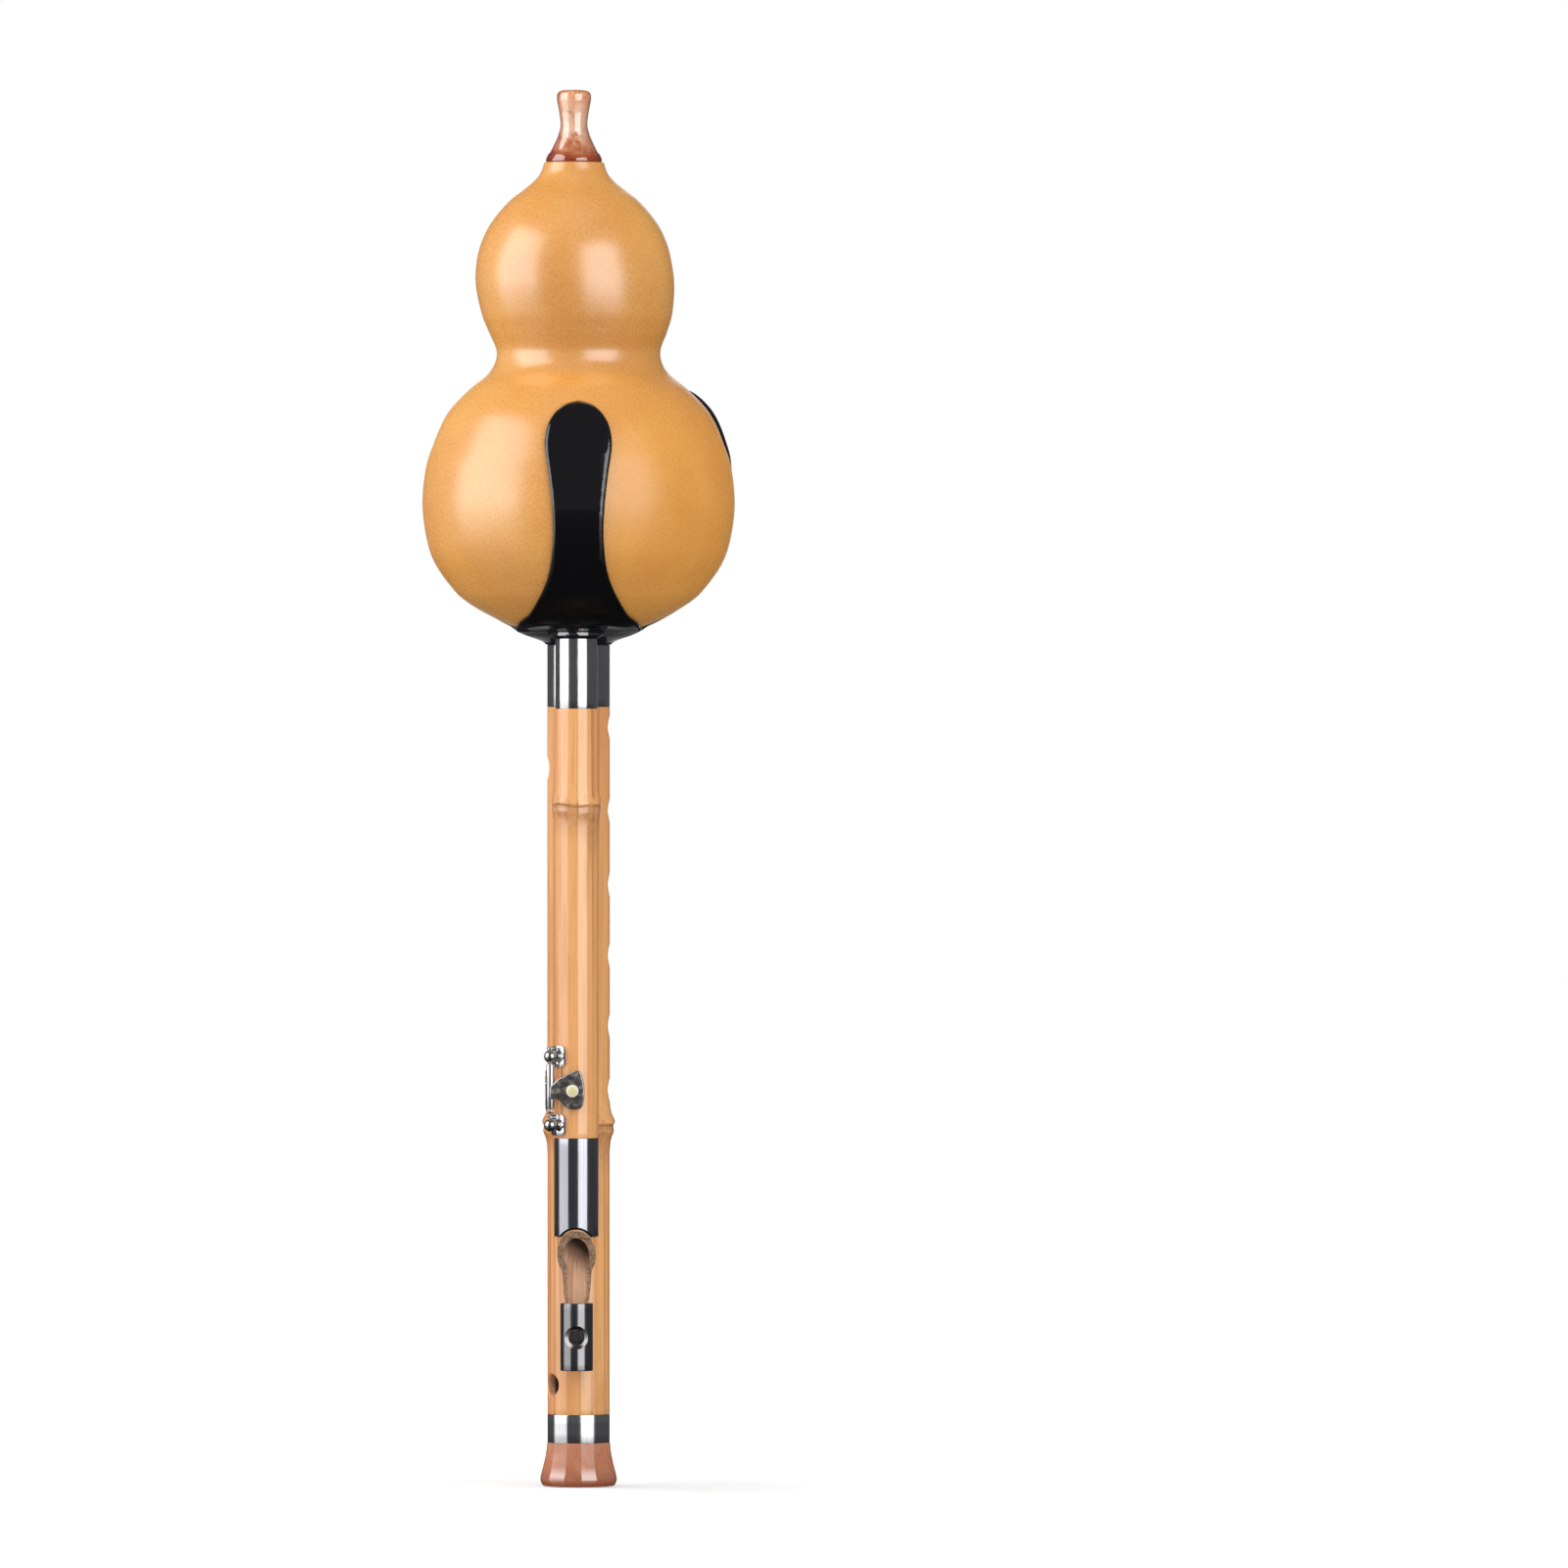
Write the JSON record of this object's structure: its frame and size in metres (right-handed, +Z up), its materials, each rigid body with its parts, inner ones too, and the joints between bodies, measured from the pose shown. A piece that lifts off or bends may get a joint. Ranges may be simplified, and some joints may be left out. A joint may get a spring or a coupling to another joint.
{
  "type": "gourd flute",
  "caption": "Gourd flute: a bamboo melody pipe between drone pipes with quill-cut ends, on corked tenons in a clawed gourd windchest, with a sprung side key and a flared foot.",
  "frame": {"origin": "middle of the foot's lower face, on the melody pipe's axis", "axes": "+Z up along the melody pipe to the mouthpiece, -Y towards the drone with the key, +X on the finger holes' side, -X on the thumb hole's side"},
  "size_m": [0.099, 0.1018, 0.4453],
  "materials": {
    "bamboo": "oiled bamboo, satin",
    "gourd_skin": "varnished gourd skin",
    "cork": "bare cork",
    "black_resin": "polished black resin",
    "agate_resin": "polished swirled red-brown resin",
    "tube_resin": "turned dark resin",
    "button_resin": "cream inlay",
    "steel": "polished steel tube",
    "nickel_silver": "plated, polished",
    "brass": "rolled brass",
    "pad_leather": "white key leather"
  },
  "bodies": {
    "pipes": {"main_ferrule": "steel", "main_reed_tube": "tube_resin", "main_tenon_cork": "cork", "main_reed_plate": "brass", "main_reed_plug": "cork", "main_pipe": "bamboo", "lower_ring": "steel", "foot_bell": "agate_resin", "drone_a_pipe": "bamboo", "drone_a_ferrule": "steel", "drone_a_reed_tube": "tube_resin", "drone_a_tenon_cork": "cork", "drone_a_reed_plate": "brass", "drone_a_reed_plug": "cork", "drone_a_sleeve": "steel", "drone_a_tail_tube": "steel", "drone_a_tail_screw": "steel", "drone_b_pipe": "bamboo", "drone_b_ferrule": "steel", "drone_b_reed_tube": "tube_resin", "drone_b_tenon_cork": "cork", "drone_b_reed_plate": "brass", "drone_b_reed_plug": "cork", "drone_b_sleeve": "steel", "drone_b_tail_tube": "steel", "drone_b_tail_screw": "steel", "key_upper_post": "nickel_silver", "key_lower_post": "nickel_silver", "key_upper_screw": "nickel_silver", "key_lower_screw": "nickel_silver", "key_axle": "steel", "key_spring": "steel"},
    "windchest": {"gourd_shell": "gourd_skin", "gourd_base": "black_resin"},
    "mouth": {"mouthpiece": "agate_resin", "mouthpiece_cork": "cork"},
    "key": {"key_lever": "nickel_silver", "key_pad": "pad_leather", "key_button": "button_resin"}
  },
  "joints": [
    {"name": "windchest_pull", "type": "slide", "parent": "pipes", "child": "windchest", "axis": [0, 0, 1], "range_m": [0, 0.008]},
    {"name": "mouthpiece_pull", "type": "slide", "parent": "windchest", "child": "mouth", "axis": [0, 0, 1], "range_m": [0, 0.006]},
    {"name": "key_turn", "type": "hinge", "parent": "pipes", "child": "key", "pos_m": [-0.00797, -0.02588, 0.1267], "axis": [0, 0, -1], "range_deg": [0, 12], "stiffness_Nm_per_rad": 0.008, "springref_deg": -11.46, "deforming": ["key_spring"]}
  ]
}
